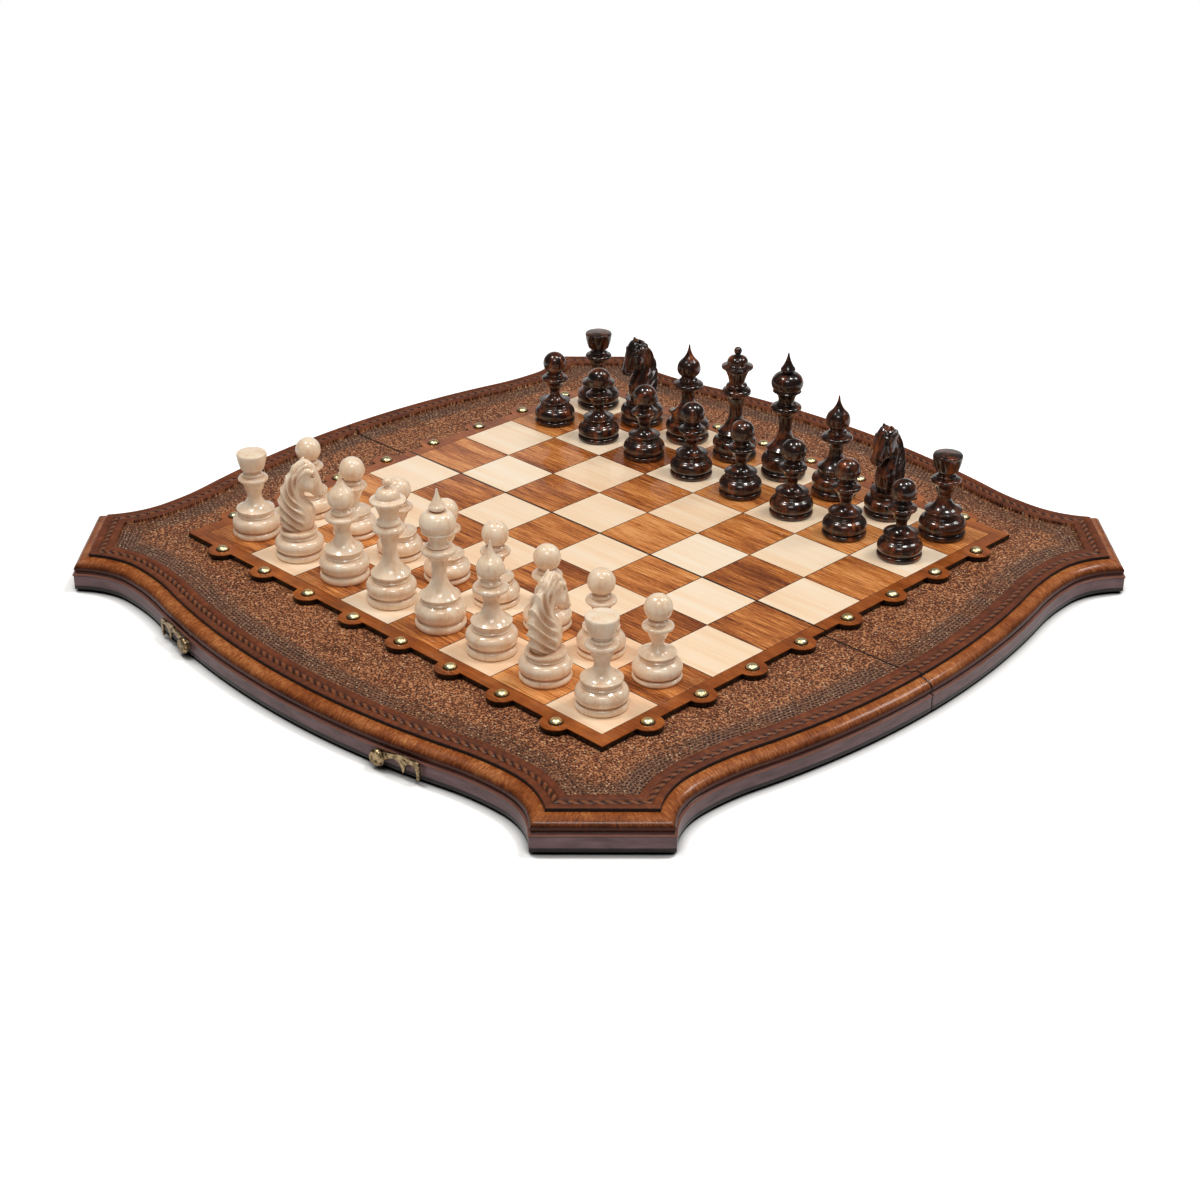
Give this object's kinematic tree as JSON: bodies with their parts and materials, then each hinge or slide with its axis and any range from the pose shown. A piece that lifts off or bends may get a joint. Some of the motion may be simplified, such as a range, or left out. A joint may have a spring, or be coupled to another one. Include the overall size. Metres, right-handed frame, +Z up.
{
  "type": "chess set",
  "caption": "Folding wooden chess board with a carved border, brass tacks and hook latches, set out with turned and carved men.",
  "frame": {"origin": "middle of the open board on the plane of the rims it stands on", "axes": "+X along the fold from file a to file h, +Y from white's side to black's side, +Z up"},
  "size_m": [0.5992, 0.5992, 0.1256],
  "materials": {
    "moulding": "satin",
    "plain_rail": "satin",
    "carved_panel": "satin",
    "play_plate": "gloss",
    "light_veneer": "gloss",
    "dark_veneer": "gloss",
    "tack_brass": "polished",
    "hinge_brass": "satin",
    "latch_brass": "satin",
    "pale_man": "gloss",
    "dark_man": "gloss"
  },
  "bodies": {
    "near_half": {"near_outer_rail": "moulding", "near_side_rails": "moulding", "near_corner_blocks": "moulding", "near_hinge_rail": "plain_rail", "near_field_panel": "carved_panel", "near_play_plate": "play_plate", "near_light_squares": "light_veneer", "near_dark_squares": "dark_veneer", "near_tacks": "tack_brass", "hinge_leaves_near": "hinge_brass", "hinge_pins": "hinge_brass", "hinge_screws_near": "hinge_brass", "latch_washers": "latch_brass", "latch_pivots": "latch_brass"},
    "far_half": {"far_outer_rail": "moulding", "far_side_rails": "moulding", "far_corner_blocks": "moulding", "far_hinge_rail": "plain_rail", "far_field_panel": "carved_panel", "far_play_plate": "play_plate", "far_light_squares": "light_veneer", "far_dark_squares": "dark_veneer", "far_tacks": "tack_brass", "hinge_leaves_far": "hinge_brass", "hinge_screws_far": "hinge_brass", "catch_studs": "latch_brass"},
    "hook_left": {"latch_hook_left": "latch_brass"},
    "hook_right": {"latch_hook_right": "latch_brass"},
    "man_white_king": {"white_king": "pale_man"},
    "man_white_queen": {"white_queen": "pale_man"},
    "man_white_bishop_c": {"white_bishop_c": "pale_man"},
    "man_white_bishop_f": {"white_bishop_f": "pale_man"},
    "man_white_knight_b": {"white_knight_b": "pale_man"},
    "man_white_knight_g": {"white_knight_g": "pale_man"},
    "man_white_rook_a": {"white_rook_a": "pale_man"},
    "man_white_rook_h": {"white_rook_h": "pale_man"},
    "man_white_pawn_a": {"white_pawn_a": "pale_man"},
    "man_white_pawn_b": {"white_pawn_b": "pale_man"},
    "man_white_pawn_c": {"white_pawn_c": "pale_man"},
    "man_white_pawn_d": {"white_pawn_d": "pale_man"},
    "man_white_pawn_e": {"white_pawn_e": "pale_man"},
    "man_white_pawn_f": {"white_pawn_f": "pale_man"},
    "man_white_pawn_g": {"white_pawn_g": "pale_man"},
    "man_white_pawn_h": {"white_pawn_h": "pale_man"},
    "man_black_king": {"black_king": "dark_man"},
    "man_black_queen": {"black_queen": "dark_man"},
    "man_black_bishop_c": {"black_bishop_c": "dark_man"},
    "man_black_bishop_f": {"black_bishop_f": "dark_man"},
    "man_black_knight_b": {"black_knight_b": "dark_man"},
    "man_black_knight_g": {"black_knight_g": "dark_man"},
    "man_black_rook_a": {"black_rook_a": "dark_man"},
    "man_black_rook_h": {"black_rook_h": "dark_man"},
    "man_black_pawn_a": {"black_pawn_a": "dark_man"},
    "man_black_pawn_b": {"black_pawn_b": "dark_man"},
    "man_black_pawn_c": {"black_pawn_c": "dark_man"},
    "man_black_pawn_d": {"black_pawn_d": "dark_man"},
    "man_black_pawn_e": {"black_pawn_e": "dark_man"},
    "man_black_pawn_f": {"black_pawn_f": "dark_man"},
    "man_black_pawn_g": {"black_pawn_g": "dark_man"},
    "man_black_pawn_h": {"black_pawn_h": "dark_man"}
  },
  "joints": [
    {"name": "fold", "type": "hinge", "parent": "near_half", "child": "far_half", "pos_m": [0, 0, -0.0001], "axis": [-1, 0, 0], "range_deg": [0, 180]},
    {"name": "hook_left_turn", "type": "hinge", "parent": "near_half", "child": "hook_left", "pos_m": [-0.1, -0.29114, 0.0064], "axis": [-0.1563, -0.9877, 0], "range_deg": [0, 90]},
    {"name": "hook_right_turn", "type": "hinge", "parent": "near_half", "child": "hook_right", "pos_m": [0.1, -0.29114, 0.0064], "axis": [-0.1563, 0.9877, 0], "range_deg": [0, 90]},
    {"name": "lift_white_king", "type": "slide", "parent": "near_half", "child": "man_white_king", "axis": [0, 0, 1], "range_m": [0, 0.12]},
    {"name": "lift_white_queen", "type": "slide", "parent": "near_half", "child": "man_white_queen", "axis": [0, 0, 1], "range_m": [0, 0.12]},
    {"name": "lift_white_bishop_c", "type": "slide", "parent": "near_half", "child": "man_white_bishop_c", "axis": [0, 0, 1], "range_m": [0, 0.12]},
    {"name": "lift_white_bishop_f", "type": "slide", "parent": "near_half", "child": "man_white_bishop_f", "axis": [0, 0, 1], "range_m": [0, 0.12]},
    {"name": "lift_white_knight_b", "type": "slide", "parent": "near_half", "child": "man_white_knight_b", "axis": [0, 0, 1], "range_m": [0, 0.12]},
    {"name": "lift_white_knight_g", "type": "slide", "parent": "near_half", "child": "man_white_knight_g", "axis": [0, 0, 1], "range_m": [0, 0.12]},
    {"name": "lift_white_rook_a", "type": "slide", "parent": "near_half", "child": "man_white_rook_a", "axis": [0, 0, 1], "range_m": [0, 0.12]},
    {"name": "lift_white_rook_h", "type": "slide", "parent": "near_half", "child": "man_white_rook_h", "axis": [0, 0, 1], "range_m": [0, 0.12]},
    {"name": "lift_white_pawn_a", "type": "slide", "parent": "near_half", "child": "man_white_pawn_a", "axis": [0, 0, 1], "range_m": [0, 0.12]},
    {"name": "lift_white_pawn_b", "type": "slide", "parent": "near_half", "child": "man_white_pawn_b", "axis": [0, 0, 1], "range_m": [0, 0.12]},
    {"name": "lift_white_pawn_c", "type": "slide", "parent": "near_half", "child": "man_white_pawn_c", "axis": [0, 0, 1], "range_m": [0, 0.12]},
    {"name": "lift_white_pawn_d", "type": "slide", "parent": "near_half", "child": "man_white_pawn_d", "axis": [0, 0, 1], "range_m": [0, 0.12]},
    {"name": "lift_white_pawn_e", "type": "slide", "parent": "near_half", "child": "man_white_pawn_e", "axis": [0, 0, 1], "range_m": [0, 0.12]},
    {"name": "lift_white_pawn_f", "type": "slide", "parent": "near_half", "child": "man_white_pawn_f", "axis": [0, 0, 1], "range_m": [0, 0.12]},
    {"name": "lift_white_pawn_g", "type": "slide", "parent": "near_half", "child": "man_white_pawn_g", "axis": [0, 0, 1], "range_m": [0, 0.12]},
    {"name": "lift_white_pawn_h", "type": "slide", "parent": "near_half", "child": "man_white_pawn_h", "axis": [0, 0, 1], "range_m": [0, 0.12]},
    {"name": "lift_black_king", "type": "slide", "parent": "far_half", "child": "man_black_king", "axis": [0, 0, 1], "range_m": [0, 0.12]},
    {"name": "lift_black_queen", "type": "slide", "parent": "far_half", "child": "man_black_queen", "axis": [0, 0, 1], "range_m": [0, 0.12]},
    {"name": "lift_black_bishop_c", "type": "slide", "parent": "far_half", "child": "man_black_bishop_c", "axis": [0, 0, 1], "range_m": [0, 0.12]},
    {"name": "lift_black_bishop_f", "type": "slide", "parent": "far_half", "child": "man_black_bishop_f", "axis": [0, 0, 1], "range_m": [0, 0.12]},
    {"name": "lift_black_knight_b", "type": "slide", "parent": "far_half", "child": "man_black_knight_b", "axis": [0, 0, 1], "range_m": [0, 0.12]},
    {"name": "lift_black_knight_g", "type": "slide", "parent": "far_half", "child": "man_black_knight_g", "axis": [0, 0, 1], "range_m": [0, 0.12]},
    {"name": "lift_black_rook_a", "type": "slide", "parent": "far_half", "child": "man_black_rook_a", "axis": [0, 0, 1], "range_m": [0, 0.12]},
    {"name": "lift_black_rook_h", "type": "slide", "parent": "far_half", "child": "man_black_rook_h", "axis": [0, 0, 1], "range_m": [0, 0.12]},
    {"name": "lift_black_pawn_a", "type": "slide", "parent": "far_half", "child": "man_black_pawn_a", "axis": [0, 0, 1], "range_m": [0, 0.12]},
    {"name": "lift_black_pawn_b", "type": "slide", "parent": "far_half", "child": "man_black_pawn_b", "axis": [0, 0, 1], "range_m": [0, 0.12]},
    {"name": "lift_black_pawn_c", "type": "slide", "parent": "far_half", "child": "man_black_pawn_c", "axis": [0, 0, 1], "range_m": [0, 0.12]},
    {"name": "lift_black_pawn_d", "type": "slide", "parent": "far_half", "child": "man_black_pawn_d", "axis": [0, 0, 1], "range_m": [0, 0.12]},
    {"name": "lift_black_pawn_e", "type": "slide", "parent": "far_half", "child": "man_black_pawn_e", "axis": [0, 0, 1], "range_m": [0, 0.12]},
    {"name": "lift_black_pawn_f", "type": "slide", "parent": "far_half", "child": "man_black_pawn_f", "axis": [0, 0, 1], "range_m": [0, 0.12]},
    {"name": "lift_black_pawn_g", "type": "slide", "parent": "far_half", "child": "man_black_pawn_g", "axis": [0, 0, 1], "range_m": [0, 0.12]},
    {"name": "lift_black_pawn_h", "type": "slide", "parent": "far_half", "child": "man_black_pawn_h", "axis": [0, 0, 1], "range_m": [0, 0.12]}
  ]
}
